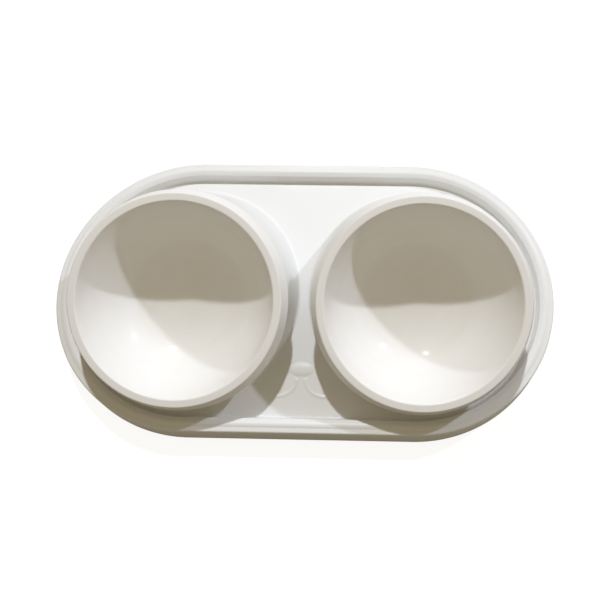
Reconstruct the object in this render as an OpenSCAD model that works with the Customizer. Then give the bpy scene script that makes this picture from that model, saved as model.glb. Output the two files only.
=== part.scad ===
// Double pet bowl: a stadium-shaped tray with two slanted collars, two lift-out bowls
// tilted towards the front, and four rubber feet. +Z up, +X along the tray, front at -Y,
// origin on the surface it stands on, below the middle of the tray. Millimetres.

/* [Tray] */
// Length of the tray at the foot of its skirt
tray_l = 310; // [290:5:360]
// Width of the tray at the foot of its skirt
tray_w = 177; // [171:1:200]
// Height of the tray's rim above the surface
tray_h = 18; // [15:1:24]
// Wall thickness of the tray moulding
tray_wall = 2.4; // [1.8:0.1:3]
// How far the skirt's foot stands out past the rim
skirt_flare = 2.7; // [1:0.1:5]
// Rounding of the rim's outer edge
rim_edge_r = 1.2; // [0.4:0.1:1.6]
// Width of the flat band along the rim
rim_band_w = 3; // [2:0.1:4]
// Width of the raised bead inside the flat band
bead_w = 3.4; // [2:0.1:4.5]
// Height of the bead above the flat band
bead_h = 0.7; // [0.3:0.1:1.2]
// Width of the ledge inside the bead
ledge_w = 1.8; // [1:0.1:3]
// How far the ledge falls towards the deck
ledge_fall = 0.8; // [0.2:0.1:1.5]
// Depth of the deck below the rim
deck_drop = 6; // [4:0.5:8]
// Slant of the wall between the ledge and the deck, in plan
deck_wall_run = 1.1; // [0.6:0.1:2]
// Fillet between that wall and the deck
deck_fillet_r = 1; // [0.4:0.1:1.5]
// Thickness of the rib under the middle of the deck
rib_w = 2; // [1.2:0.1:3]
// Height of the rib under the middle of the deck
rib_h = 5; // [2:0.5:7]

/* [Collars] */
// Diameter of a collar where its axis meets the deck
collar_base_d = 131; // [127:0.5:133]
// Wall thickness of a collar
collar_wall = 2.2; // [1.6:0.1:2.6]
// Gap between a collar and the bowl's wall inside it
collar_gap = 0.6; // [0.3:0.1:1]
// Gap between a collar's top edge and the bowl resting on it
seat_gap = 0.25; // [0.1:0.05:0.4]

/* [Bowls] */
// Distance between the two bowls' axes
bowl_spacing = 138; // [136:1:144]
// Tilt of the bowls towards the front, in degrees
bowl_tilt = 18; // [14:1:20]
// Height of a rim's middle above the surface
bowl_rim_z = 52; // [51:1:75]
// How far a rim's middle lies in front of the tray's middle
bowl_forward = 17.8; // [15:0.2:20]
// Outer diameter of the rim's flat top
rim_d = 119; // [117:0.5:121]
// Diameter of the mouth, inside the rim
mouth_d = 109.4; // [105:0.2:110.4]
// Rounding of the rim's edges
rim_round_r = 1; // [0.4:0.1:1.4]
// Diameter of the brim at its lower edge
brim_d = 126; // [123.5:0.5:130]
// Height of the brim, measured along the bowl's axis
brim_h = 9; // [7:0.5:12]
// Wall thickness of the brim
brim_wall = 1.8; // [1.2:0.1:2]
// Gap between the brim and the collar's top edge inside it
brim_gap = 0.8; // [0.4:0.1:1]
// Thickness of the solid rim above the seat
seat_depth = 4.3; // [3.5:0.1:5]
// Depth of the bowl below its rim
bowl_depth = 42; // [32:1:43]
// Slant of the bowl's wall, in degrees
bowl_wall_slant = 16; // [8:1:20]
// Radius of the sweep between the wall and the floor
bowl_sweep_r = 48; // [30:1:52]
// Wall thickness of the bowl
bowl_wall = 2.4; // [1.6:0.1:3]
// Mean diameter of the ring that the bowl stands on when lifted out
base_ring_d = 40; // [34:1:46]
// Width of that ring
base_ring_w = 2.4; // [1.6:0.1:4]
// Height of that ring
base_ring_h = 1.2; // [0.6:0.1:2]

/* [Relief] */
// Width of the raised nose
nose_w = 16; // [12:0.5:18]
// Depth of the raised nose, front to back
nose_l = 8.6; // [7:0.2:11]
// Distance of the nose's middle in front of the tray's middle
nose_y = 48.2; // [44:0.2:50]
// Height of the nose above the deck
nose_h = 1.2; // [0.6:0.1:2]
// Height of the mouth's lines above the deck
line_h = 0.7; // [0.4:0.1:1.2]
// Width of the mouth's lines
line_w = 1.6; // [1:0.1:2.2]
// Width of each half of the mouth
half_w = 11.5; // [8:0.5:14]
// Depth of each half of the mouth, front to back
half_l = 9.8; // [7:0.2:11]
// Gap between the two halves of the mouth
half_gap = 5.6; // [3:0.2:8]
// Gap between the nose and the mouth
nose_gap = 2; // [1:0.2:4]

/* [Feet] */
// Diameter of a rubber foot
foot_d = 12; // [9:0.5:13]
// Height of a rubber foot
foot_h = 3; // [2.5:0.5:4]
// How far a foot stands out below the skirt
foot_stand = 1.5; // [1:0.1:2]
// Wall of the boss round a foot
boss_wall = 1.5; // [1:0.1:2]
// Gap round a foot in its boss
foot_gap = 0.2; // [0.1:0.05:0.4]
// Distance of a foot's middle from the skirt's lower edge
foot_inset = 11; // [10:0.5:13]
// Angle of the feet round the tray's ends, in degrees
foot_angle = 45; // [40:1:50]

/* [Hidden] */
$fn = 96;
// Steps along a full small rounding, and along the bowl's sweep
round_steps = 6;
sweep_steps = 16;
ellipse_steps = 48;
// Overrun for cuts
cut = 1;

// Tray: distances from its centre line, and levels
foot_r = tray_w / 2;
top_r = foot_r - skirt_flare;
end_x = tray_l / 2 - foot_r;
foot_reach = foot_r - foot_inset;
band_r = top_r - rim_band_w;
bead_r = band_r - bead_w;
ledge_r = bead_r - ledge_w;
deck_r = ledge_r - deck_wall_run;
deck_z = tray_h - deck_drop;
under_z = deck_z - tray_wall;
ledge_z = tray_h - ledge_fall;
// Radius of the bead's round back
bead_arc_r = (pow(bead_w / 2, 2) + bead_h * bead_h) / (2 * bead_h);
bead_half_angle = asin(bead_w / 2 / bead_arc_r);

// Bowl: radii and levels measured from its rim plane along its axis
rim_r = rim_d / 2;
mouth_rad = mouth_d / 2;
brim_r = brim_d / 2;
brim_slope = (brim_r - rim_r) / brim_h;
// The sweep is kept below the seat
dish_r = min(bowl_sweep_r, (bowl_depth - seat_depth) / (1 - sin(bowl_wall_slant)));
dish_out_r = dish_r + bowl_wall;
sweep_top_z = -bowl_depth + dish_r * (1 - sin(bowl_wall_slant));
sweep_top_r = mouth_rad + (sweep_top_z + rim_round_r) * tan(bowl_wall_slant);
floor_r = sweep_top_r - dish_r * cos(bowl_wall_slant);
skin = bowl_wall / cos(bowl_wall_slant);
body_seat_r = mouth_rad - (seat_depth - rim_round_r) * tan(bowl_wall_slant) + skin;
// Ring under the bowl, which reaches up past the sweep's underside into the wall
ring_out_r = (base_ring_d + base_ring_w) / 2;
ring_rise = dish_out_r - sqrt(pow(dish_out_r, 2) - pow(max(0, ring_out_r - floor_r), 2));
ring_top = base_ring_h + ring_rise + bowl_wall / 2;

// Collar: radii along the bowl's axis, from its top edge down to the deck
collar_top_z = -seat_depth - seat_gap;
collar_in_r = body_seat_r + collar_gap;
collar_out_r = collar_in_r + collar_wall;
brim_seat_r = collar_out_r + brim_gap;
axis_to_deck = (bowl_rim_z - deck_z) / cos(bowl_tilt);
collar_h = axis_to_deck + collar_top_z;
collar_slope = (collar_base_d / 2 - collar_out_r) / collar_h;
// Extra length below the deck, so that the slanted foot of the collar is whole
collar_extra = collar_base_d / 2 * tan(bowl_tilt) + tray_wall;
collar_foot_r = collar_base_d / 2 + collar_slope * collar_extra;

// Points along part of an ellipse, and of a circle
function sweep(centre, rx, ry, from, to, steps) =
    [for (i = [0:steps], angle = from + (to - from) * i / steps)
        centre + [rx * cos(angle), ry * sin(angle)]];

function arc(centre, r, from, to, steps) = sweep(centre, r, r, from, to, steps);

// Section of the tray shell: distance from the centre line, height
tray_section = concat(
    [[0, under_z], [deck_r + tray_wall, under_z]],
    [[ledge_r + tray_wall, ledge_z - tray_wall], [top_r - tray_wall, tray_h - tray_wall]],
    [[foot_r - tray_wall, foot_stand], [foot_r, foot_stand]],
    arc([top_r - rim_edge_r, tray_h - rim_edge_r], rim_edge_r, 0, 90, round_steps),
    arc([(band_r + bead_r) / 2, tray_h + bead_h - bead_arc_r], bead_arc_r,
        90 - bead_half_angle, 90 + bead_half_angle, round_steps),
    [[ledge_r, ledge_z]],
    arc([deck_r - deck_fillet_r, deck_z + deck_fillet_r], deck_fillet_r, 0, -90, round_steps),
    [[0, deck_z]]);

// Section of the space below the middle of the shell's thickness, which the bosses fill
inside_section = [
    [0, foot_stand], [foot_r - tray_wall / 2, foot_stand],
    [top_r - tray_wall / 2, tray_h - tray_wall / 2],
    [ledge_r + tray_wall / 2, ledge_z - tray_wall / 2],
    [deck_r + tray_wall / 2, deck_z - tray_wall / 2], [0, deck_z - tray_wall / 2]];

// Section of a bowl: distance from its axis, height above its rim plane
bowl_section = concat(
    [[0, -bowl_depth]],
    arc([floor_r, dish_r - bowl_depth], dish_r, -90, -bowl_wall_slant, sweep_steps),
    arc([mouth_rad + rim_round_r, -rim_round_r], rim_round_r, 180, 90, round_steps),
    arc([rim_r - rim_round_r, -rim_round_r], rim_round_r, 90, atan(brim_slope), round_steps),
    [[brim_r, -brim_h], [brim_r - brim_wall, -brim_h]],
    [[brim_seat_r, -seat_depth], [body_seat_r, -seat_depth]],
    arc([floor_r, dish_r - bowl_depth], dish_out_r, -bowl_wall_slant, -90, sweep_steps),
    [[0, -bowl_depth - bowl_wall]]);

// Carries a section all round the stadium outline of the tray
module along_tray(section) {
    for (side = [-1, 1])
        translate([side * end_x, 0, 0])
            rotate([0, 0, -90 * side])
                rotate_extrude(angle = 180)
                    polygon(section);
    for (side = [-1, 1])
        translate([-end_x, 0, 0])
            rotate([90, 0, 90])
                linear_extrude(height = 2 * end_x)
                    scale([side, 1])
                        polygon(section);
}

// Moves what is drawn about a bowl's axis, rim plane at zero, to its place on the tray
module at_bowl(side) {
    translate([side * bowl_spacing / 2, -bowl_forward, bowl_rim_z])
        rotate([bowl_tilt, 0, 0])
            children();
}

// Slanted cone of a collar, shrunk by its wall for the inside and lengthened upwards for a cut
module collar_cone(side, shrink, rise) {
    at_bowl(side)
        translate([0, 0, collar_top_z - collar_h - collar_extra])
            cylinder(h = collar_h + collar_extra + rise,
                r1 = collar_foot_r - shrink,
                r2 = collar_out_r - shrink - collar_slope * rise);
}

// Everything above the middle of the deck's thickness
module above_deck() {
    translate([-tray_l / 2, -tray_w, deck_z - tray_wall / 2])
        cube([tray_l, 2 * tray_w, bowl_rim_z + rim_d]);
}

// Everything above the underside of the deck, for the collars' holes
module above_underside() {
    translate([-tray_l / 2, -tray_w, under_z - cut])
        cube([tray_l, 2 * tray_w, bowl_rim_z + rim_d]);
}

module at_foot(side, end) {
    translate([side * (end_x + foot_reach * cos(foot_angle)), end * foot_reach * sin(foot_angle), 0])
        children();
}

module foot_boss() {
    translate([0, 0, foot_stand])
        cylinder(h = tray_h, d = foot_d + 2 * foot_gap + 2 * boss_wall);
}

module foot_socket() {
    translate([0, 0, foot_stand - cut])
        cylinder(h = foot_h - foot_stand + cut, d = foot_d + 2 * foot_gap);
}

// Raised nose: two stacked ellipses, the upper one smaller
module nose() {
    for (layer = [1, 2])
        translate([0, -nose_y, deck_z - tray_wall / 2])
            linear_extrude(height = tray_wall / 2 + nose_h * layer / 2)
                polygon(sweep([0, 0], nose_w / 2 - nose_h * (layer - 1), nose_l / 2 - nose_h * (layer - 1),
                    0, 360 - 360 / ellipse_steps, ellipse_steps - 1));
}

// Raised line of one half of the mouth: a quarter of an ellipse, from below the nose outwards
module mouth_half(side) {
    middle = [half_gap / 2 + half_w, -nose_y - nose_l / 2 - nose_gap];
    translate([0, 0, deck_z - tray_wall / 2])
        linear_extrude(height = tray_wall / 2 + line_h)
            scale([side, 1])
                polygon(concat(
                    sweep(middle, half_w + line_w / 2, half_l + line_w / 2, 180, 270, ellipse_steps / 4),
                    sweep(middle, half_w - line_w / 2, half_l - line_w / 2, 270, 180, ellipse_steps / 4)));
}

module base_tray() {
    color([0.93, 0.93, 0.92])
        difference() {
            union() {
                along_tray(tray_section);
                for (side = [-1, 1])
                    intersection() {
                        collar_cone(side, 0, 0);
                        above_deck();
                    }
                intersection() {
                    for (side = [-1, 1], end = [-1, 1])
                        at_foot(side, end) foot_boss();
                    along_tray(inside_section);
                }
                translate([-rib_w / 2, -deck_r, under_z - rib_h])
                    cube([rib_w, 2 * deck_r, rib_h + tray_wall / 2]);
                nose();
                for (side = [-1, 1])
                    mouth_half(side);
            }
            for (side = [-1, 1])
                intersection() {
                    collar_cone(side, collar_wall, cut);
                    above_underside();
                }
            for (side = [-1, 1], end = [-1, 1])
                at_foot(side, end) foot_socket();
        }
}

module bowl(side) {
    color([0.95, 0.94, 0.91])
        at_bowl(side) {
            rotate_extrude()
                polygon(bowl_section);
            translate([0, 0, -bowl_depth - bowl_wall - base_ring_h])
                difference() {
                    cylinder(h = ring_top, r = ring_out_r);
                    translate([0, 0, -cut])
                        cylinder(h = ring_top + 2 * cut, r = ring_out_r - base_ring_w);
                }
        }
}

module rubber_foot(side, end) {
    color([0.75, 0.75, 0.74])
        at_foot(side, end)
            cylinder(h = foot_h, d = foot_d);
}

base_tray();
bowl(-1);  // bowl_left
bowl(1);  // bowl_right
rubber_foot(-1, -1);  // foot_front_left
rubber_foot(1, -1);  // foot_front_right
rubber_foot(-1, 1);  // foot_back_left
rubber_foot(1, 1);  // foot_back_right
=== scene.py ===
import math
import bpy
import bmesh
import numpy as np
from mathutils import Matrix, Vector
from mathutils.geometry import delaunay_2d_cdt


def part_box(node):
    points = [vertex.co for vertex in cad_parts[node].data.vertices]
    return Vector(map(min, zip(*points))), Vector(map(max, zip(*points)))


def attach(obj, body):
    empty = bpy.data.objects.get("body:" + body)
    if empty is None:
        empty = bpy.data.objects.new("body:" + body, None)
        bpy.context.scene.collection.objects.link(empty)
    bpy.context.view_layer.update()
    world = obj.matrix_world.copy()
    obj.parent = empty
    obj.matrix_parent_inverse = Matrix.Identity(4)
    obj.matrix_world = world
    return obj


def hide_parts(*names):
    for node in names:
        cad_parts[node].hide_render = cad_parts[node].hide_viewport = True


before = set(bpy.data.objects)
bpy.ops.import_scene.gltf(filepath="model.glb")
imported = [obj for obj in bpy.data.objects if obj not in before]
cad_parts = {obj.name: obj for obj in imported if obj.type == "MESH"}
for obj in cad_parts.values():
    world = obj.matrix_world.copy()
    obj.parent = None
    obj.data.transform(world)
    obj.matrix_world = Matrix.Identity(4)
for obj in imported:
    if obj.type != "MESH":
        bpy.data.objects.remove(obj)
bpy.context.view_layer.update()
mm = 0.001
print("frame loaded:", len(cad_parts), "nodes")

# the pieces' sizes are in mm, as on the drawing; what the frame knows is read from it
meshUser = {
    "edgeShare": 0.06,            # a straight's extra points lie this share of it from its ends
    "merge": 0.004,               # points nearer than this are one
    "rowRatio": 0.87,             # row spacing over pitch in a staggered lattice
    "planSlack": 1e-6,            # plan points nearer than this are one
}


def unit(rows):
    # each row over its own length
    return rows / np.linalg.norm(rows, axis=1, keepdims=True)


def sweepBetween(middle, first, last, share):
    # a point on the circle round middle, turned from first to last by that share of the angle between them
    dot = (first * last).sum(-1, keepdims=True)
    size = np.linalg.norm(first, axis=-1, keepdims=True) * np.linalg.norm(last, axis=-1, keepdims=True)
    angle = np.arccos(np.clip(dot / size, -1, 1))
    return middle + (np.sin((1 - share) * angle) * first + np.sin(share * angle) * last) / np.sin(angle)


def roundedOutline(corners, steps):
    # corners are (across, up, radius); each becomes an arc between its two tangent points, and every
    # straight gets two more points near its ends so that it shades flat
    c = np.array(corners, float)
    p, radius = c[:, :2], c[1:-1, 2:3]
    back = unit(p[:-2] - p[1:-1])
    ahead = unit(p[2:] - p[1:-1])
    half = np.arccos(np.clip((back * ahead).sum(1, keepdims=True), -1, 1)) / 2
    reach = radius / np.tan(half)
    start = p[1:-1] + back * reach
    end = p[1:-1] + ahead * reach
    middle = p[1:-1] + unit(back + ahead) * radius / np.sin(half)
    share = np.linspace(0, 1, steps + 1)[None, :, None]
    arcs = sweepBetween(middle[:, None], (start - middle)[:, None], (end - middle)[:, None], share)
    lineStart = np.vstack([p[:1], end])
    lineEnd = np.vstack([start, p[-1:]])
    near = np.array([meshUser["edgeShare"], 1 - meshUser["edgeShare"]])[None, :, None]
    lines = lineStart[:, None] * (1 - near) + lineEnd[:, None] * near
    rows = np.concatenate([lines[:-1], arcs], axis=1).reshape(-1, 2)
    return np.vstack([p[:1], rows, lines[-1], p[-1:]])


def revolve(outline, steps):
    # each outline point (across, up) goes round the axis: (across cos a, across sin a, up)
    a = np.linspace(0, 2 * np.pi, steps, endpoint=False)
    across, up = outline[:, :1], outline[:, 1:]
    return np.stack([across * np.cos(a), across * np.sin(a), up + 0 * a], -1)


def gridFaces(rows, cols):
    # quads of a grid that closes on itself along its columns
    i, j = np.meshgrid(np.arange(rows - 1), np.arange(cols), indexing="ij")
    k = (j + 1) % cols
    quads = np.stack([i * cols + j, (i + 1) * cols + j, (i + 1) * cols + k, i * cols + k], -1)
    return quads.reshape(-1, 4)


class MeshPot:
    # gathers the grids and triangles of one piece, then merges their seams

    def __init__(self):
        self.points, self.faces, self.count = [], [], 0

    def add(self, points, faces):
        self.points.append(np.asarray(points, float).reshape(-1, 3))
        self.faces.extend((np.asarray(faces) + self.count).tolist())
        self.count += len(self.points[-1])

    def addGrid(self, grid):
        self.add(grid, gridFaces(*grid.shape[:2]))

    def addBox(self, low, high):
        # a closed block between two corners
        x, y, z = zip(low, high)
        corners = [(a, b, c) for a in x for b in y for c in z]
        sides = [(0, 1, 3, 2), (4, 6, 7, 5), (0, 4, 5, 1), (2, 3, 7, 6), (0, 2, 6, 4), (1, 5, 7, 3)]
        self.add(corners, sides)

    def finish(self, name, material, body, replaced):
        mesh = bpy.data.meshes.new(name)
        mesh.from_pydata((np.vstack(self.points) * mm).tolist(), [], self.faces)
        work = bmesh.new()
        work.from_mesh(mesh)
        bmesh.ops.remove_doubles(work, verts=work.verts, dist=meshUser["merge"] * mm)
        bmesh.ops.recalc_face_normals(work, faces=work.faces)
        work.to_mesh(mesh)
        openEdges = sum(not e.is_manifold for e in work.edges)
        work.free()
        mesh.shade_smooth()
        mesh.materials.append(material)
        piece = bpy.data.objects.new(name, mesh)
        bpy.context.scene.collection.objects.link(piece)
        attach(piece, body)
        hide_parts(*replaced)
        print(name, "made:", len(mesh.polygons), "faces,", openEdges, "open edges")


def insideLoop(points, loop):
    # a point is inside where a line from it crosses the closed loop an odd number of times
    x, y = points[:, :1], points[:, 1:]
    a, b = loop[None, :, :], np.roll(loop, -1, 0)[None, :, :]
    crosses = (a[..., 1] > y) != (b[..., 1] > y)
    with np.errstate(divide="ignore", invalid="ignore"):
        at = a[..., 0] + (y - a[..., 1]) * (b[..., 0] - a[..., 0]) / (b[..., 1] - a[..., 1])
    return (np.sum(crosses & (x < at), axis=1) % 2) == 1


def betweenLoops(points, outer, holes):
    # inside the outer loop and in none of the holes
    good = insideLoop(points, outer)
    for hole in holes:
        good &= ~insideLoop(points, hole)
    return good


def fillPlan(outer, holes, extra):
    # plan triangles between the outer loop and the holes, through the extra points that lie between them
    flat = np.vstack([outer] + holes + [extra[betweenLoops(extra, outer, holes)]])
    edges, at = [], 0
    for loop in [outer] + holes:
        n = np.arange(len(loop))
        edges += (np.stack([n, np.roll(n, -1)], -1) + at).tolist()
        at += len(loop)
    verts, _, faces = delaunay_2d_cdt(flat.tolist(), edges, [], 0, meshUser["planSlack"])[:3]
    verts = np.array(verts)[:, :2]
    faces = np.array(faces)
    return verts, faces[betweenLoops(verts[faces].mean(1), outer, holes)]


def gridPoints(low, high, pitch):
    # a staggered lattice of plan points: every second row is half a pitch aside
    rowPitch = pitch * meshUser["rowRatio"]
    x, y = np.meshgrid(np.arange(low[0], high[0], pitch), np.arange(low[1], high[1], rowPitch))
    x = x + (np.arange(len(x)) % 2)[:, None] * pitch / 2
    return np.stack([x.ravel(), y.ravel()], -1)


def shrinkLoop(loop, step):
    # moves a convex loop's points towards its middle by step
    return loop - unit(loop - loop.mean(0)) * step


# the bowls: their sections are drawn about their own axis, with up 0 at the rim plane
bowlUser = {
    "spacing": 138.0,             # between the rims' middles
    "forward": 17.8,              # of the tray's middle
    "rimHeight": 52.0,            # the rim's middle over the table
    "tilt": 18.0,                 # degrees, towards the front
    "rimRadius": 59.5,
    "mouthRadius": 54.7,
    "edgeRound": 1.0,             # of the flat rim, both sides
    "depth": 42.0,
    "slant": 16.0,                # degrees, of the dish's wall
    "sweep": 48.0,                # radius between wall and floor
    "wall": 2.4,
    "brimRadius": 63.0,           # at its lower edge
    "brimDepth": 9.0,
    "brimWall": 1.8,
    "brimInside": 59.85,          # inner radius of the brim at the seat
    "brimRound": 0.7,
    "brimInnerRound": 0.5,
    "seatDepth": 4.3,             # the collar's top edge comes up to just under this
    "seatRound": 0.4,
    "ringRadius": 20.0,           # the ring that the bowl stands on when it is lifted out
    "ringWidth": 2.4,
    "ringHeight": 1.2,
    "ringRoot": 0.7,              # it starts this far above the dish's lowest level, in the wall
    "ringRound": 0.4,
    "ringRootRound": 0.2,
    "steps": 192,
    "arcSteps": 20,
    "ringArcSteps": 5,
}
axisTilt = math.radians(bowlUser["tilt"])
axisUp = np.array([0, -math.sin(axisTilt), math.cos(axisTilt)])
axisAcross = np.array([1.0, 0, 0])
axisBack = np.array([0, math.cos(axisTilt), math.sin(axisTilt)])


def rimMiddle(side):
    # half the spacing to that side, forward of the middle, at the rim's height
    return np.array([side * bowlUser["spacing"] / 2, -bowlUser["forward"], bowlUser["rimHeight"]])


def onBowlAxis(side, grid):
    # takes points given as (across, back, up along the axis) from the rim plane's middle to their place
    across, back, up = grid[..., :1], grid[..., 1:2], grid[..., 2:3]
    return rimMiddle(side) + across * axisAcross + back * axisBack + up * axisUp


def bowlOutline():
    # half section from the middle of the dish up over the rim and brim, and back below to the middle
    u = bowlUser
    lean = math.tan(math.radians(u["slant"]))
    mouth = u["mouthRadius"] + u["edgeRound"] * lean
    outer = mouth + u["wall"] / math.cos(math.radians(u["slant"]))
    floor = -u["depth"] - u["wall"]
    return roundedOutline([
        (0, -u["depth"], 0),
        (mouth - u["depth"] * lean, -u["depth"], u["sweep"]),
        (mouth, 0, u["edgeRound"]),
        (u["rimRadius"], 0, u["edgeRound"]),
        (u["brimRadius"], -u["brimDepth"], u["brimRound"]),
        (u["brimRadius"] - u["brimWall"], -u["brimDepth"], u["brimInnerRound"]),
        (u["brimInside"], -u["seatDepth"], u["brimInnerRound"]),
        (outer - u["seatDepth"] * lean, -u["seatDepth"], u["seatRound"]),
        (outer + floor * lean, floor, u["sweep"] + u["wall"]),
        (0, floor, 0)], u["arcSteps"])


def ringOutline():
    # closed section of the standing ring, from inside the dish's wall and back
    u = bowlUser
    inside = u["ringRadius"] - u["ringWidth"] / 2
    out = inside + u["ringWidth"]
    root = u["ringRoot"] - u["depth"]
    end = -u["depth"] - u["wall"] - u["ringHeight"]
    return roundedOutline([
        (inside, root, 0),
        (inside, end, u["ringRound"]),
        (out, end, u["ringRound"]),
        (out, root, u["ringRootRound"]),
        (inside, root, 0)], u["ringArcSteps"])


def makeBowl(side, name, body, material):
    # both sections go round the slanted axis
    pot = MeshPot()
    for outline in (bowlOutline(), ringOutline()):
        pot.addGrid(onBowlAxis(side, revolve(outline, bowlUser["steps"])))
    pot.finish(name, material, body, [body])


trayLow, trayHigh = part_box("base_tray")
trayUser = {
    "length": (trayHigh.x - trayLow.x) / mm,
    "width": (trayHigh.y - trayLow.y) / mm,
    "foot": trayLow.z / mm,       # the skirt's lower edge
    "rim": 18.0,                  # level of the flat band
    "flare": 2.7,                 # skirt foot past the rim
    "band": 3.0,                  # flat band along the edge
    "bead": 3.4,                  # raised bead, its width
    "beadCorner": 0.62,           # the bead's flanks meet this far above the band, before rounding
    "beadRound": 4.0,
    "beadRootRound": 0.5,
    "ledge": 1.8,                 # sloping ledge inside the bead
    "ledgeFall": 0.8,
    "ledgeRound": 0.7,
    "deckDrop": 6.0,              # deck under the band
    "deckRun": 1.1,               # slant of the wall down to the deck
    "deckRound": 1.3,
    "deckStart": 1.6,             # the outline starts this far in from the deck's edge
    "wall": 2.4,
    "edgeRound": 1.2,
    "footRound": 0.7,
    "footInnerRound": 0.5,
    "innerRound": 0.9,            # under the band and the ledge
    "underRound": 0.8,            # under the deck's edge
    "underStart": 0.5,            # as deckStart, under the deck
    "ribWidth": 2.0,              # the rib under the deck runs from front to back
    "ribDepth": 5.0,
    "arcSteps": 7,
    "endSteps": 120,              # faces round each end
    "sideSteps": 10,
}
deckLevel = trayUser["rim"] - trayUser["deckDrop"]
underLevel = deckLevel - trayUser["wall"]


def trayOutline():
    # from the deck's edge up over the ledge, bead and band, down the skirt and back under the deck
    u = trayUser
    foot = u["width"] / 2
    top = foot - u["flare"]
    band = top - u["band"]
    bead = band - u["bead"]
    ledge = bead - u["ledge"]
    ledgeLevel = u["rim"] - u["ledgeFall"]
    deckEdge = ledge - u["deckRun"]
    return roundedOutline([
        (deckEdge - u["deckStart"], deckLevel, 0),
        (deckEdge, deckLevel, u["deckRound"]),
        (ledge, ledgeLevel, u["ledgeRound"]),
        (bead, u["rim"], u["beadRootRound"]),
        ((band + bead) / 2, u["rim"] + u["beadCorner"], u["beadRound"]),
        (band, u["rim"], u["beadRootRound"]),
        (top, u["rim"], u["edgeRound"]),
        (foot, u["foot"], u["footRound"]),
        (foot - u["wall"], u["foot"], u["footInnerRound"]),
        (top - u["wall"], u["rim"] - u["wall"], u["innerRound"]),
        (ledge + u["wall"], ledgeLevel - u["wall"], u["innerRound"]),
        (deckEdge + u["wall"], underLevel, u["underRound"]),
        (deckEdge - u["underStart"], underLevel, 0)], u["arcSteps"])


def stadiumPath(steps, sideSteps):
    # round the right end, along the back, round the left end and along the front: (centre x, angle)
    endX = trayUser["length"] / 2 - trayUser["width"] / 2
    turn = np.linspace(-np.pi / 2, np.pi / 2, steps + 1)
    slide = np.linspace(endX, -endX, sideSteps + 1)[1:-1]
    quarter = np.full(sideSteps - 1, np.pi / 2)
    x = np.concatenate([np.full(steps + 1, endX), slide, np.full(steps + 1, -endX), -slide])
    return x, np.concatenate([turn, quarter, turn + np.pi, quarter + np.pi])


def carryRound(outline, steps, sideSteps):
    # each outline point (distance from the centre line, level) is carried along the stadium
    x, angle = stadiumPath(steps, sideSteps)
    reach, level = outline[:, :1], outline[:, 1:]
    return np.stack([x + reach * np.cos(angle), reach * np.sin(angle), level + 0 * angle], -1)


collarUser = {
    "baseRadius": 65.5,           # where the cone meets the deck's level on the axis
    "topRadius": 59.05,
    "wall": 2.2,
    "belowRim": 4.55,             # top edge under the bowl's rim plane
    "lip": 3.0,                   # the top edge's outline starts this far down the cone
    "footFillet": 2.0,
    "edgeRound": 0.5,
    "rowShares": (0.02, 0.35, 0.7),   # rows of points on the cone, from its foot to the lip
    "filletSteps": 8,
    "arcSteps": 5,
    "steps": 192,
}


def outAt(angle):
    # direction away from the bowl's axis: across cos a + back sin a
    return np.cos(angle)[..., None] * axisAcross + np.sin(angle)[..., None] * axisBack


def coneAt(side, angle, up, radius):
    # from the rim's middle, up along the axis and then out by the radius
    return rimMiddle(side) + up[..., None] * axisUp + radius[..., None] * outAt(angle)


def footSweep(side, angle, radiusAtTop, top, slope, level, ball, steps):
    # a ball rolls where the slanted cone meets the level plane: its middle is on the cone moved out by
    # ball / cos(lean) and ball above the plane; the arc runs from the plane's touch to the cone's
    lean = math.atan(slope)
    fromTop = radiusAtTop + ball / math.cos(lean)
    back = axisBack[2] * np.sin(angle)
    rise = level + ball - bowlUser["rimHeight"]
    up = (rise - (fromTop + top * slope) * back) / (axisUp[2] - slope * back)
    middle = coneAt(side, angle, up, fromTop - (up - top) * slope)
    normal = math.cos(lean) * outAt(angle) + math.sin(lean) * axisUp
    down = np.tile([0, 0, -1.0], (len(angle), 1))
    share = np.linspace(0, 1, steps + 1)[:, None, None]
    arc = sweepBetween(middle[None], down[None] * ball, -normal[None] * ball, share)
    return arc, up - ball * math.sin(lean)


def collarGrid(side):
    # deck fillet, outer cone, rounded top edge, inner cone, and the rounded edge under the deck;
    # a cone's radius is its top radius + slope times the distance below its top
    u = collarUser
    angle = np.linspace(0, 2 * np.pi, u["steps"], endpoint=False)
    top = -u["belowRim"]
    length = (bowlUser["rimHeight"] - deckLevel) / math.cos(axisTilt) + top
    slope = (u["baseRadius"] - u["topRadius"]) / length
    outTop, inTop = u["topRadius"], u["topRadius"] - u["wall"]
    outFoot, outUp = footSweep(side, angle, outTop, top, slope, deckLevel, u["footFillet"], u["filletSteps"])
    inFoot, inUp = footSweep(side, angle, inTop, top, slope, underLevel, u["edgeRound"], u["arcSteps"])
    lip = roundedOutline([
        (outTop + u["lip"] * slope, top - u["lip"], 0),
        (outTop, top, u["edgeRound"]),
        (inTop, top, u["edgeRound"]),
        (inTop + u["lip"] * slope, top - u["lip"], 0)], u["arcSteps"])
    lipRows = coneAt(side, angle[None] + 0 * lip[:, :1], lip[:, 1:] + 0 * angle, lip[:, :1] + 0 * angle)
    near = np.array(u["rowShares"])[:, None]
    outerUp = outUp * (1 - near) + lip[0, 1] * near
    outer = coneAt(side, angle[None] + 0 * near, outerUp, outTop - (outerUp - top) * slope)
    innerUp = (inUp * (1 - near) + lip[-1, 1] * near)[::-1]
    inner = coneAt(side, angle[None] + 0 * near, innerUp, inTop - (innerUp - top) * slope)
    return np.concatenate([outFoot, outer, lipRows, inner, inFoot[::-1]])


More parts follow.
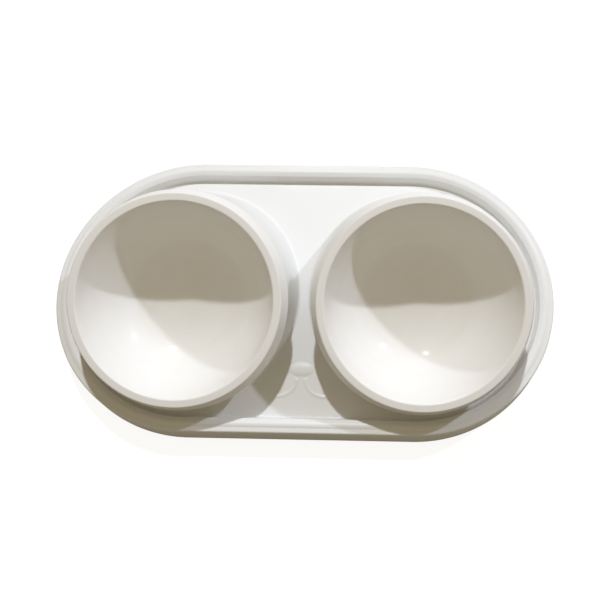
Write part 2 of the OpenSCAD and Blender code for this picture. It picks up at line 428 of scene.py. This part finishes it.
# the raised muzzle on the deck: a nose and, in front of it, a mouth line to each side
reliefUser = {
    "noseAcross": 16.0,
    "noseDeep": 8.6,
    "noseForward": 48.2,
    "noseRise": 0.75,
    "noseFlat": 3.0,              # higher makes the dome's top flatter
    "noseFade": 1.3,              # higher makes its edge softer
    "lineWidth": 2.8,
    "lineRise": 0.34,
    "lineAcross": 11.5,
    "lineDeep": 9.8,
    "lineApart": 5.6,             # between the two lines' inner ends
    "lineStart": 2.0,             # in front of the nose's edge
    "linePoints": 60,
    "pitch": 0.4,                 # of the deck's points under the relief
    "around": 1.0,                # left clear of the coarse points round it
}


def reliefRise(x, y):
    # the nose is a dome, noseRise (1 - far^noseFlat)^noseFade, with far 1 at an ellipse's edge; each
    # mouth line is a ridge, lineRise (1 - off^2)^2, with off 1 at half its width from a quarter ellipse
    u = reliefUser
    far = np.hypot(x / (u["noseAcross"] / 2), (y + u["noseForward"]) / (u["noseDeep"] / 2))
    dome = u["noseRise"] * np.clip(1 - far ** u["noseFlat"], 0, 1) ** u["noseFade"]
    a = np.linspace(np.pi, 1.5 * np.pi, u["linePoints"])
    lineX = u["lineApart"] / 2 + u["lineAcross"] * (1 + np.cos(a))
    lineY = -u["noseForward"] - u["noseDeep"] / 2 - u["lineStart"] + u["lineDeep"] * np.sin(a)
    off = np.hypot(np.abs(x)[:, None] - lineX, y[:, None] - lineY).min(1) / (u["lineWidth"] / 2)
    ridge = u["lineRise"] * np.clip(1 - off ** 2, 0, 1) ** 2
    return dome + ridge


def reliefBox():
    # plan corners of the relief, with a line's width to spare
    u = reliefUser
    halfX = u["lineApart"] / 2 + u["lineAcross"] + u["lineWidth"]
    front = u["noseForward"] + u["noseDeep"] / 2 + u["lineStart"] + u["lineDeep"] + u["lineWidth"]
    return np.array([-halfX, -front]), np.array([halfX, u["noseDeep"] - u["noseForward"]])


plateUser = {
    "support": 0.4,               # a loop of points this far inside each edge keeps it flat
    "margin": 1.5,                # no other point is nearer to an edge
    "deckPitch": 5.0,
    "underPitch": 8.0,
}


def addPlate(pot, level, outer, holes, pitch, rise=None):
    # a level plate between loops; where rise is given, it lifts the plate's points by rise(x, y)
    u = plateUser
    reach = outer.max(0)
    inner = gridPoints(-reach, reach, pitch)
    if rise:
        low, high = reliefBox()
        aside = reliefUser["around"]
        clear = ((inner < low - aside) | (inner > high + aside)).any(1)
        inner = np.vstack([inner[clear], gridPoints(low, high, reliefUser["pitch"])])
    wide = [shrinkLoop(hole, -u["margin"]) for hole in holes]
    inner = inner[betweenLoops(inner, shrinkLoop(outer, u["margin"]), wide)]
    support = [shrinkLoop(outer, u["support"])] + [shrinkLoop(hole, -u["support"]) for hole in holes]
    plan, faces = fillPlan(outer, holes, np.vstack([inner] + support))
    lift = rise(plan[:, 0], plan[:, 1]) if rise else np.zeros(len(plan))
    pot.add(np.column_stack([plan, level + lift]), faces)


footUser = {
    "height": 3.0,
    "radius": 6.0,
    "round": 0.7,
    "topRound": 0.2,
    "play": 0.2,                  # between the foot and its socket
    "bossWall": 1.5,
    "bossRound": 0.4,
    "bossTopRound": 0.2,
    "socketRound": 0.3,
    "socketTopRound": 0.2,
    "padArcSteps": 6,
    "bossArcSteps": 4,
    "steps": 64,
}


def footPlaces():
    # name -> the middle of each foot's underside, from the frame
    names = [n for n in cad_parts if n.startswith("foot_")]
    boxes = {n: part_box(n) for n in names}
    return {n: ((b[0].x + b[1].x) / 2 / mm, (b[0].y + b[1].y) / 2 / mm) for n, b in boxes.items()}


def bossOutline():
    # the socket's ceiling, its wall, the boss's end and its outside, up into the deck's thickness
    u = footUser
    hole = u["radius"] + u["play"]
    outside = hole + u["bossWall"]
    top = deckLevel - trayUser["wall"] / 2
    return roundedOutline([
        (0, u["height"], 0),
        (hole, u["height"], u["socketTopRound"]),
        (hole, trayUser["foot"], u["socketRound"]),
        (outside, trayUser["foot"], u["bossRound"]),
        (outside, top, u["bossTopRound"]),
        (0, top, 0)], u["bossArcSteps"])


def makeFoot(node, x, y, material):
    # half a section of the pad, from its underside's middle to its top's, goes round the foot's axis
    u = footUser
    pot = MeshPot()
    outline = roundedOutline([
        (0, 0, 0),
        (u["radius"], 0, u["round"]),
        (u["radius"], u["height"], u["topRound"]),
        (0, u["height"], 0)], u["padArcSteps"])
    pot.addGrid(revolve(outline, u["steps"]) + np.array([x, y, 0]))
    pot.finish(node.replace("foot_", "pad_"), material, "tray", [node])


def makeTray(material):
    # the outline carried round the stadium, both collars, the deck's two faces, the bosses and the rib
    u = trayUser
    pot = MeshPot()
    outline = trayOutline()
    ring = carryRound(outline, u["endSteps"], u["sideSteps"])
    collars = [collarGrid(side) for side in (-1, 1)]
    for grid in [ring] + collars:
        pot.addGrid(grid)
    deckEdge, deckHoles = ring[0][:, :2], [g[0][:, :2] for g in collars]
    underEdge, underHoles = ring[-1][:, :2], [g[-1][:, :2] for g in collars]
    addPlate(pot, deckLevel, deckEdge, deckHoles, plateUser["deckPitch"], reliefRise)
    addPlate(pot, underLevel, underEdge, underHoles, plateUser["underPitch"])
    boss = revolve(bossOutline(), footUser["steps"])
    for x, y in footPlaces().values():
        pot.addGrid(boss + np.array([x, y, 0]))
    ribHalf, ribEnd = u["ribWidth"] / 2, outline[0, 0]
    pot.addBox((-ribHalf, -ribEnd, underLevel - u["ribDepth"]), (ribHalf, ribEnd, deckLevel - u["wall"] / 2))
    pot.finish("trayMoulding", material, "tray", ["base_tray"])


# the plastic's skin; scales and stretch are counts per metre
skinUser = {
    "driftScale": 14.0,
    "driftFrom": 0.25,
    "patchScale": 38.0,
    "patchFrom": 0.35,
    "cloudDetail": 3.0,
    "streakStretch": (60.0, 1500.0, 900.0),
    "streakTurn": (0.2, 0.3, 0.5),
    "streakDetail": 1.0,
    "streakFrom": 0.62,
    "streakGain": 3.0,
    "peelScale": 900.0,
    "peelDetail": 2.0,
    "peelDepth": 0.02,            # mm
    "coatRoughness": 0.16,
}


def newGroup(name, inputs, outputs):
    # an empty node group with these sockets, and its two ends
    group = bpy.data.node_groups.new(name, "ShaderNodeTree")
    for label, kind, value in inputs:
        socket = group.interface.new_socket(label, in_out="INPUT", socket_type=kind)
        if value is not None:
            socket.default_value = value
    for label, kind in outputs:
        group.interface.new_socket(label, in_out="OUTPUT", socket_type=kind)
    return group, group.nodes.new("NodeGroupInput"), group.nodes.new("NodeGroupOutput")


def mathNode(tree, operation, first, second=None, clamp=False):
    # a number goes on the socket, an output is linked to it
    node = tree.nodes.new("ShaderNodeMath")
    node.operation = operation
    node.use_clamp = clamp
    for socket, value in zip(node.inputs, (first, second)):
        if isinstance(value, (int, float)):
            socket.default_value = value
        elif value is not None:
            tree.links.new(value, socket)
    return node.outputs[0]


def noiseNode(tree, vector, scale, detail):
    # cloudy noise about 0.5
    node = tree.nodes.new("ShaderNodeTexNoise")
    tree.links.new(vector, node.inputs["Vector"])
    node.inputs["Scale"].default_value = scale
    node.inputs["Detail"].default_value = detail
    return node.outputs["Fac"]


def mouldedGroup():
    # colour goes from Tone towards the darker tone by a slow cloud times Drift, plus a mask that paints
    # shade in the bowls' dish;
    # roughness is the gloss's own + Rubbed times (hair-thin scratches + soft patches + that same mask);
    # height is Peel times (peel - scratches)
    u = skinUser
    group, given, result = newGroup("mouldedSkin", [
        ("Vector", "NodeSocketVector", None),
        ("Tone", "NodeSocketColor", (0.8, 0.8, 0.8, 1)),
        ("Drift And Shade Tone", "NodeSocketColor", (0.75, 0.74, 0.7, 1)),
        ("Drift", "NodeSocketFloat", 0.3),
        ("Gloss Roughness", "NodeSocketFloat", 0.3),
        ("Rubbed", "NodeSocketFloat", 0.1),
        ("Shade And Wear", "NodeSocketFloat", 0.0),
        ("Peel", "NodeSocketFloat", 1.0)], [
        ("Color", "NodeSocketColor"), ("Roughness", "NodeSocketFloat"), ("Height", "NodeSocketFloat")])
    links = group.links
    place = given.outputs["Vector"]
    drift = noiseNode(group, place, u["driftScale"], u["cloudDetail"])
    patch = noiseNode(group, place, u["patchScale"], u["cloudDetail"])
    peel = noiseNode(group, place, u["peelScale"], u["peelDetail"])
    stretch = group.nodes.new("ShaderNodeMapping")
    stretch.inputs["Scale"].default_value = u["streakStretch"]
    stretch.inputs["Rotation"].default_value = u["streakTurn"]
    links.new(place, stretch.inputs["Vector"])
    streak = noiseNode(group, stretch.outputs["Vector"], 1.0, u["streakDetail"])
    streak = mathNode(group, "SUBTRACT", streak, u["streakFrom"], True)
    streak = mathNode(group, "MULTIPLY", streak, u["streakGain"], True)
    scratch = mathNode(group, "MULTIPLY", streak, mathNode(group, "SUBTRACT", patch, u["patchFrom"], True))
    share = mathNode(group, "SUBTRACT", drift, u["driftFrom"], True)
    share = mathNode(group, "MULTIPLY", share, given.outputs["Drift"])
    mix = group.nodes.new("ShaderNodeMix")
    mix.data_type = "RGBA"
    links.new(mathNode(group, "ADD", share, given.outputs["Shade And Wear"], True), mix.inputs["Factor"])
    links.new(given.outputs["Tone"], mix.inputs["A"])
    links.new(given.outputs["Drift And Shade Tone"], mix.inputs["B"])
    links.new(mix.outputs["Result"], result.inputs["Color"])
    rough = mathNode(group, "ADD", mathNode(group, "ADD", scratch, patch), given.outputs["Shade And Wear"])
    rough = mathNode(group, "MULTIPLY", rough, given.outputs["Rubbed"])
    links.new(mathNode(group, "ADD", rough, given.outputs["Gloss Roughness"]), result.inputs["Roughness"])
    skin = mathNode(group, "SUBTRACT", peel, scratch)
    links.new(mathNode(group, "MULTIPLY", skin, given.outputs["Peel"]), result.inputs["Height"])
    return group


shadeWearUser = {
    "middleShadeAndWear": 0.6,                  # how much of the drift tone the dish's middle takes, as painted shade; the same share adds roughness there
    "shadeWearEdge": 38.0,             # mm from the axis, where it begins
    "shadeWearFull": 30.0,             # mm from the axis, where it is full
    "rings": 0.5,
    "ringScale": 380.0,           # the rings' noise per metre away from the axis
    "roundScale": 12.0,           # and along the rings
    "ringDetail": 2.0,
    "underRim": 1.0,              # mm below the rim plane, where the dish begins
}


def dishShadeAndWear(tree, place):
    # the same pattern for both bowls: the place is mirrored to +X, seen from the rim's middle along the
    # bowl's axis, and its distance r from that axis gives painted shade: a darker middle for the dish's
    # shaded floor and faint lighter and darker rings for the shading of the bend into its wall; the same
    # mask also adds roughness
    u = shadeWearUser
    parts = tree.nodes.new("ShaderNodeSeparateXYZ")
    tree.links.new(place, parts.inputs[0])
    folded = tree.nodes.new("ShaderNodeCombineXYZ")
    tree.links.new(mathNode(tree, "ABSOLUTE", parts.outputs["X"]), folded.inputs["X"])
    tree.links.new(parts.outputs["Y"], folded.inputs["Y"])
    tree.links.new(parts.outputs["Z"], folded.inputs["Z"])
    bowl = tree.nodes.new("ShaderNodeMapping")
    bowl.vector_type = "TEXTURE"
    bowl.inputs["Location"].default_value = (rimMiddle(1) * mm).tolist()
    bowl.inputs["Rotation"].default_value = (axisTilt, 0, 0)
    tree.links.new(folded.outputs[0], bowl.inputs["Vector"])
    local = tree.nodes.new("ShaderNodeSeparateXYZ")
    tree.links.new(bowl.outputs[0], local.inputs[0])
    x, y, z = local.outputs
    squares = [mathNode(tree, "MULTIPLY", v, v) for v in (x, y)]
    r = mathNode(tree, "SQRT", mathNode(tree, "ADD", *squares))
    middle = tree.nodes.new("ShaderNodeMapRange")
    middle.interpolation_type = "SMOOTHSTEP"
    middle.inputs["From Min"].default_value = u["shadeWearEdge"] * mm
    middle.inputs["From Max"].default_value = u["shadeWearFull"] * mm
    middle.inputs["To Min"].default_value = 0.0
    middle.inputs["To Max"].default_value = u["middleShadeAndWear"]
    tree.links.new(r, middle.inputs["Value"])
    around = tree.nodes.new("ShaderNodeCombineXYZ")
    for label, value, scale in (("X", r, "ringScale"), ("Y", x, "roundScale"), ("Z", y, "roundScale")):
        tree.links.new(mathNode(tree, "MULTIPLY", value, u[scale]), around.inputs[label])
    rings = noiseNode(tree, around.outputs[0], 1.0, u["ringDetail"])
    rings = mathNode(tree, "SUBTRACT", rings, 0.5)     # so that they go both ways
    shadeAndWear = mathNode(tree, "ADD", middle.outputs["Result"], mathNode(tree, "MULTIPLY", rings, u["rings"]))
    inside = mathNode(tree, "LESS_THAN", z, -u["underRim"] * mm)
    return mathNode(tree, "MULTIPLY", shadeAndWear, inside)


def skinMaterial(name, group, user):
    # a plain Principled shader that takes colour, roughness and bump from the group
    material = bpy.data.materials.new(name)
    material.use_nodes = True
    tree = material.node_tree
    shader = tree.nodes["Principled BSDF"]
    place = tree.nodes.new("ShaderNodeTexCoord")
    skin = tree.nodes.new("ShaderNodeGroup")
    skin.node_tree = group
    tree.links.new(place.outputs["Object"], skin.inputs["Vector"])
    for label in ("Tone", "Drift And Shade Tone", "Drift", "Gloss Roughness", "Rubbed", "Peel"):
        skin.inputs[label].default_value = user[label]
    # the bowls' dish takes painted shade in its colour: a darker middle and faint rings
    if user["dish"]:
        tree.links.new(dishShadeAndWear(tree, place.outputs["Object"]), skin.inputs["Shade And Wear"])
    bump = tree.nodes.new("ShaderNodeBump")
    bump.inputs["Strength"].default_value = user["bump"]
    bump.inputs["Distance"].default_value = skinUser["peelDepth"] * mm
    tree.links.new(skin.outputs["Height"], bump.inputs["Height"])
    tree.links.new(bump.outputs["Normal"], shader.inputs["Normal"])
    tree.links.new(skin.outputs["Color"], shader.inputs["Base Color"])
    tree.links.new(skin.outputs["Roughness"], shader.inputs["Roughness"])
    shader.inputs["Specular IOR Level"].default_value = user["specular"]
    shader.inputs["Coat Weight"].default_value = user["coat"]
    shader.inputs["Coat Roughness"].default_value = skinUser["coatRoughness"]
    return material


skinGroup = mouldedGroup()
trayPlastic = skinMaterial("trayWhitePlastic", skinGroup, {
    "Tone": (0.82, 0.82, 0.81, 1), "Drift And Shade Tone": (0.78, 0.775, 0.75, 1), "Drift": 0.5, "dish": False,
    "Gloss Roughness": 0.38, "Rubbed": 0.12, "Peel": 1.0, "bump": 0.15, "specular": 0.35, "coat": 0.02})
# in the bowls the darker tone is also the colour of the dish's painted shade
bowlPlastic = skinMaterial("bowlWarmPlastic", skinGroup, {
    "Tone": (0.89, 0.88, 0.86, 1), "Drift And Shade Tone": (0.84, 0.82, 0.78, 1), "Drift": 0.5, "dish": True,
    "Gloss Roughness": 0.42, "Rubbed": 0.12, "Peel": 0.8, "bump": 0.12, "specular": 0.25, "coat": 0.06})
padRubber = skinMaterial("padGreyRubber", skinGroup, {
    "Tone": (0.42, 0.42, 0.41, 1), "Drift And Shade Tone": (0.36, 0.36, 0.35, 1), "Drift": 0.8, "dish": False,
    "Gloss Roughness": 0.62, "Rubbed": 0.2, "Peel": 3.0, "bump": 0.6, "specular": 0.35, "coat": 0.0})
print("materials made")

makeTray(trayPlastic)
makeBowl(-1, "bowlLeft", "bowl_left", bowlPlastic)
makeBowl(1, "bowlRight", "bowl_right", bowlPlastic)
for node, (x, y) in footPlaces().items():
    makeFoot(node, x, y, padRubber)
print("pieces made")

studioUser = {
    "floorSize": 8.0,             # metres, as the lamps' distance and width are
    "floorTone": (0.17, 0.15, 0.12, 1),       # for the light that it sends back on the object
    "floorMirrored": (0.9, 0.9, 0.9, 1),      # for reflections
    "floorShaded": (0.3, 0.3, 0.3, 1),        # for the camera, the part that takes the shadow
    "floorWhite": 0.88,                       # for the camera, the part that is always there
    "worldTone": (1.0, 0.85, 0.565, 1),
    "worldStrength": 0.315,
    "worldWhite": (1, 1, 1, 1),
    "lampDistance": 2.2,
    # azimuth from +X towards the back, elevation, width, power, colour
    "lamps": {
        "backLamp": (91.6, 54.8, 0.08, 28.8, (0.875, 0.91, 0.975)),
        "sideLamp": (36.0, 37.3, 0.08, 16.8, (0.78, 0.84, 0.985)),
    },
}


def mixed(tree, share, first, second):
    # the first shader where share is 0, the second where it is 1
    node = tree.nodes.new("ShaderNodeMixShader")
    for socket, value in zip(node.inputs, (share, first, second)):
        tree.links.new(value, socket)
    return node.outputs[0]


def matt(tree, tone):
    node = tree.nodes.new("ShaderNodeBsdfDiffuse")
    node.inputs["Color"].default_value = tone
    return node.outputs[0]


def floorMaterial():
    # the camera sees white that still takes the shadow, reflections see a white floor lit by the lamps,
    # and the light that the floor sends back comes off its own tone
    u = studioUser
    material = bpy.data.materials.new("paleFloor")
    material.use_nodes = True
    tree = material.node_tree
    tree.nodes.clear()
    result = tree.nodes.new("ShaderNodeOutputMaterial")
    path = tree.nodes.new("ShaderNodeLightPath").outputs
    white = tree.nodes.new("ShaderNodeEmission")
    white.inputs["Strength"].default_value = u["floorWhite"]
    shaded = tree.nodes.new("ShaderNodeAddShader")
    tree.links.new(white.outputs[0], shaded.inputs[0])
    tree.links.new(matt(tree, u["floorShaded"]), shaded.inputs[1])
    mirrored = mathNode(tree, "MAXIMUM", path["Is Glossy Ray"], path["Is Transmission Ray"])
    other = mixed(tree, mirrored, matt(tree, u["floorTone"]), matt(tree, u["floorMirrored"]))
    look = mixed(tree, path["Is Camera Ray"], other, shaded.outputs[0])
    tree.links.new(look, result.inputs["Surface"])
    return material


def makeFloor():
    # one level square under the feet
    half = studioUser["floorSize"] / 2
    corners = [(-half, -half, 0), (half, -half, 0), (half, half, 0), (-half, half, 0)]
    mesh = bpy.data.meshes.new("floor")
    mesh.from_pydata(corners, [], [(0, 1, 2, 3)])
    mesh.materials.append(floorMaterial())
    floor = bpy.data.objects.new("floor", mesh)
    bpy.context.scene.collection.objects.link(floor)


def makeLamps():
    # each lamp stands away from the origin by (cos a cos e, sin a cos e, sin e) and faces it
    for name, (azimuth, elevation, width, power, colour) in studioUser["lamps"].items():
        a, e = math.radians(azimuth), math.radians(elevation)
        away = np.array([math.cos(a) * math.cos(e), math.sin(a) * math.cos(e), math.sin(e)])
        light = bpy.data.lights.new(name, "AREA")
        light.shape = "DISK"
        light.size = width
        light.energy = power
        light.color = colour
        lamp = bpy.data.objects.new(name, light)
        lamp.location = away * studioUser["lampDistance"]
        lamp.rotation_mode = "QUATERNION"
        lamp.rotation_quaternion = lamp.location.to_track_quat("Z", "Y")
        bpy.context.scene.collection.objects.link(lamp)


def makeAir():
    # warm and dim as light, white to the camera
    u = studioUser
    world = bpy.data.worlds.new("studioAir")
    bpy.context.scene.world = world
    world.use_nodes = True
    tree = world.node_tree
    tree.nodes.clear()
    path = tree.nodes.new("ShaderNodeLightPath").outputs
    air = tree.nodes.new("ShaderNodeBackground")
    air.inputs["Color"].default_value = u["worldTone"]
    air.inputs["Strength"].default_value = u["worldStrength"]
    white = tree.nodes.new("ShaderNodeBackground")
    white.inputs["Color"].default_value = u["worldWhite"]
    result = tree.nodes.new("ShaderNodeOutputWorld")
    look = mixed(tree, path["Is Camera Ray"], air.outputs[0], white.outputs[0])
    tree.links.new(look, result.inputs["Surface"])


cameraUser = {
    "place": (28.85, -106.11, 363.19),        # mm
    "pitch": 17.761, "yaw": 1.003, "roll": 0.888,
    "focal": 589.1,               # in pixels of the 600 pixel frame
    "centre": (340.64, 283.28),   # where the lens axis meets the frame
    "frame": 600,
    "sensor": 36.0,               # mm
    "near": 0.01,                 # metres
}


def makeCamera():
    # the camera looks straight down at zero angles, then turns by pitch, yaw and roll
    u = cameraUser
    turn = Matrix.Identity(4)
    for label, axis in (("pitch", "X"), ("yaw", "Y"), ("roll", "Z")):
        turn = turn @ Matrix.Rotation(math.radians(u[label]), 4, axis)
    data = bpy.data.cameras.new("photoCamera")
    data.sensor_width = u["sensor"]
    data.lens = u["focal"] / u["frame"] * u["sensor"]
    data.shift_x = (u["frame"] / 2 - u["centre"][0]) / u["frame"]
    data.shift_y = (u["centre"][1] - u["frame"] / 2) / u["frame"]
    data.clip_start = u["near"]
    camera = bpy.data.objects.new("photoCamera", data)
    camera.matrix_world = Matrix.Translation([v * mm for v in u["place"]]) @ turn
    bpy.context.scene.collection.objects.link(camera)
    bpy.context.scene.camera = camera


makeFloor()
makeLamps()
makeAir()
makeCamera()
bpy.context.scene.view_settings.view_transform = "Standard"
print("studio and camera made")
